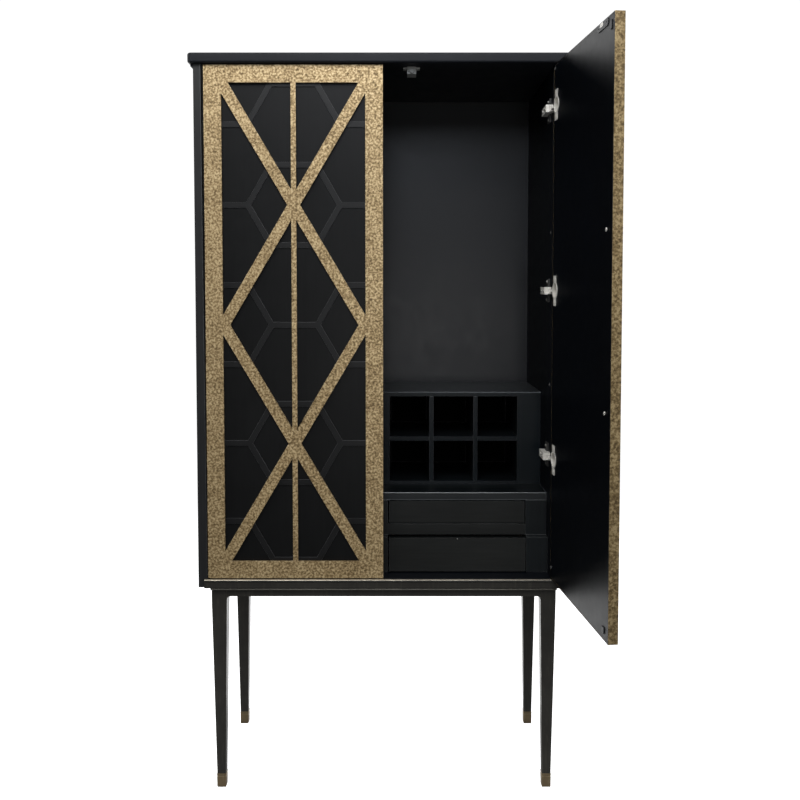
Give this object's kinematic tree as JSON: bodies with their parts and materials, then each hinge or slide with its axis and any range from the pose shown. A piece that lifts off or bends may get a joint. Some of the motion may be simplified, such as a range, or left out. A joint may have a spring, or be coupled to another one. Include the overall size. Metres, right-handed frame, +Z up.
{
  "type": "bar armoire",
  "caption": "Tall black bar cabinet on a bronze stand, with gold fretwork doors over a hexagon lattice, a bottle rack and drawers inside.",
  "frame": {"origin": "centre of the footprint of the whole outline on the floor, with the right door open as in the picture", "axes": "+Z up along the height, -Y towards the front where the doors are, +X to the right seen from the front"},
  "size_m": [0.8522, 0.798, 1.632],
  "materials": {
    "case_lacquer": "satin charcoal lacquer on board",
    "slab_lacquer": "satin charcoal lacquer on board",
    "gloss_lacquer": "polished black lacquer on board",
    "satin_lacquer": "satin black lacquer on board",
    "drawer_wood": "plain waxed wood",
    "gold_leaf": "antiqued gold leaf on wood",
    "bronze_finish": "dark bronze finish on wood",
    "foot_brass": "aged brass",
    "hinge_nickel": "nickel plated",
    "latch_plastic": "pale grey moulded plastic"
  },
  "bodies": {
    "cabinet": {"top_slab": "slab_lacquer", "case_side_left": "case_lacquer", "case_side_right": "case_lacquer", "case_floor": "case_lacquer", "back_panel": "satin_lacquer", "plinth_rail": "bronze_finish", "stand_frame": "bronze_finish", "leg_front_left": "bronze_finish", "foot_front_left": "foot_brass", "leg_front_right": "bronze_finish", "foot_front_right": "foot_brass", "leg_rear_left": "bronze_finish", "foot_rear_left": "foot_brass", "leg_rear_right": "bronze_finish", "foot_rear_right": "foot_brass", "drawer_case_top": "gloss_lacquer", "drawer_divider": "satin_lacquer", "column_left": "satin_lacquer", "column_right": "satin_lacquer", "rack_carcass": "gloss_lacquer", "rack_shelf_left": "gloss_lacquer", "rack_divider_left_1": "gloss_lacquer", "rack_divider_left_2": "gloss_lacquer", "rack_shelf_right": "gloss_lacquer", "rack_divider_right_1": "gloss_lacquer", "rack_divider_right_2": "gloss_lacquer", "hinge_arm_left_1": "hinge_nickel", "hinge_arm_left_2": "hinge_nickel", "hinge_arm_left_3": "hinge_nickel", "latch_body_left": "latch_plastic", "hinge_arm_right_1": "hinge_nickel", "hinge_arm_right_2": "hinge_nickel", "hinge_arm_right_3": "hinge_nickel", "latch_body_right": "latch_plastic"},
    "left_door": {"door_fret_left": "gold_leaf", "door_panel_left": "satin_lacquer", "hinge_cup_left_1": "hinge_nickel", "hinge_cup_left_2": "hinge_nickel", "hinge_cup_left_3": "hinge_nickel"},
    "right_door": {"door_fret_right": "gold_leaf", "door_panel_right": "satin_lacquer", "hinge_cup_right_1": "hinge_nickel", "hinge_cup_right_2": "hinge_nickel", "hinge_cup_right_3": "hinge_nickel"},
    "upper_left_drawer": {"drawer_front_upper_left": "satin_lacquer", "drawer_box_upper_left": "drawer_wood"},
    "lower_left_drawer": {"drawer_front_lower_left": "satin_lacquer", "drawer_box_lower_left": "drawer_wood"},
    "upper_right_drawer": {"drawer_front_upper_right": "satin_lacquer", "drawer_box_upper_right": "drawer_wood"},
    "lower_right_drawer": {"drawer_front_lower_right": "satin_lacquer", "drawer_box_lower_right": "drawer_wood"},
    "left_hinge_links": {"hinge_link_left_1": "hinge_nickel", "hinge_link_left_2": "hinge_nickel", "hinge_link_left_3": "hinge_nickel"},
    "right_hinge_links": {"hinge_link_right_1": "hinge_nickel", "hinge_link_right_2": "hinge_nickel", "hinge_link_right_3": "hinge_nickel"},
    "left_plunger": {"latch_plunger_left": "latch_plastic"},
    "right_plunger": {"latch_plunger_right": "latch_plastic"}
  },
  "joints": [
    {"name": "left_door_swing", "type": "hinge", "parent": "cabinet", "child": "left_door", "pos_m": [-0.38961, -0.01449, 1.045], "axis": [0, 0, -1], "range_deg": [0, 110]},
    {"name": "right_door_swing", "type": "hinge", "parent": "cabinet", "child": "right_door", "pos_m": [0.38239, -0.01449, 1.045], "axis": [0, 0, 1], "range_deg": [-96, 14]},
    {"name": "left_hinge_links_turn", "type": "hinge", "parent": "cabinet", "child": "left_hinge_links", "pos_m": [-0.37061, 0.00151, 1.045], "axis": [0, 0, -1], "range_deg": [0, 78]},
    {"name": "right_hinge_links_turn", "type": "hinge", "parent": "cabinet", "child": "right_hinge_links", "pos_m": [0.36339, 0.00151, 1.045], "axis": [0, 0, 1], "range_deg": [-68, 10.5]},
    {"name": "upper_right_drawer_slide", "type": "slide", "parent": "cabinet", "child": "upper_right_drawer", "axis": [0, -1, 0], "range_m": [0, 0.25]},
    {"name": "lower_right_drawer_slide", "type": "slide", "parent": "cabinet", "child": "lower_right_drawer", "axis": [0, -1, 0], "range_m": [0, 0.25]},
    {"name": "upper_left_drawer_slide", "type": "slide", "parent": "cabinet", "child": "upper_left_drawer", "axis": [0, -1, 0], "range_m": [0, 0.2]},
    {"name": "lower_left_drawer_slide", "type": "slide", "parent": "cabinet", "child": "lower_left_drawer", "axis": [0, -1, 0], "range_m": [0, 0.2]},
    {"name": "left_plunger_press", "type": "slide", "parent": "cabinet", "child": "left_plunger", "axis": [0, 1, 0], "range_m": [0, 0.003], "stiffness_N_per_m": 300},
    {"name": "right_plunger_press", "type": "slide", "parent": "cabinet", "child": "right_plunger", "axis": [0, 1, 0], "range_m": [0, 0.003], "stiffness_N_per_m": 300}
  ],
  "couplings": [
    {"joint": "upper_left_drawer_slide", "follows": "left_door_swing", "m_per_rad": 0.1},
    {"joint": "lower_left_drawer_slide", "follows": "left_door_swing", "m_per_rad": 0.1},
    {"joint": "left_hinge_links_turn", "follows": "left_door_swing", "ratio": 0.7},
    {"joint": "right_hinge_links_turn", "follows": "right_door_swing", "ratio": 0.7}
  ]
}
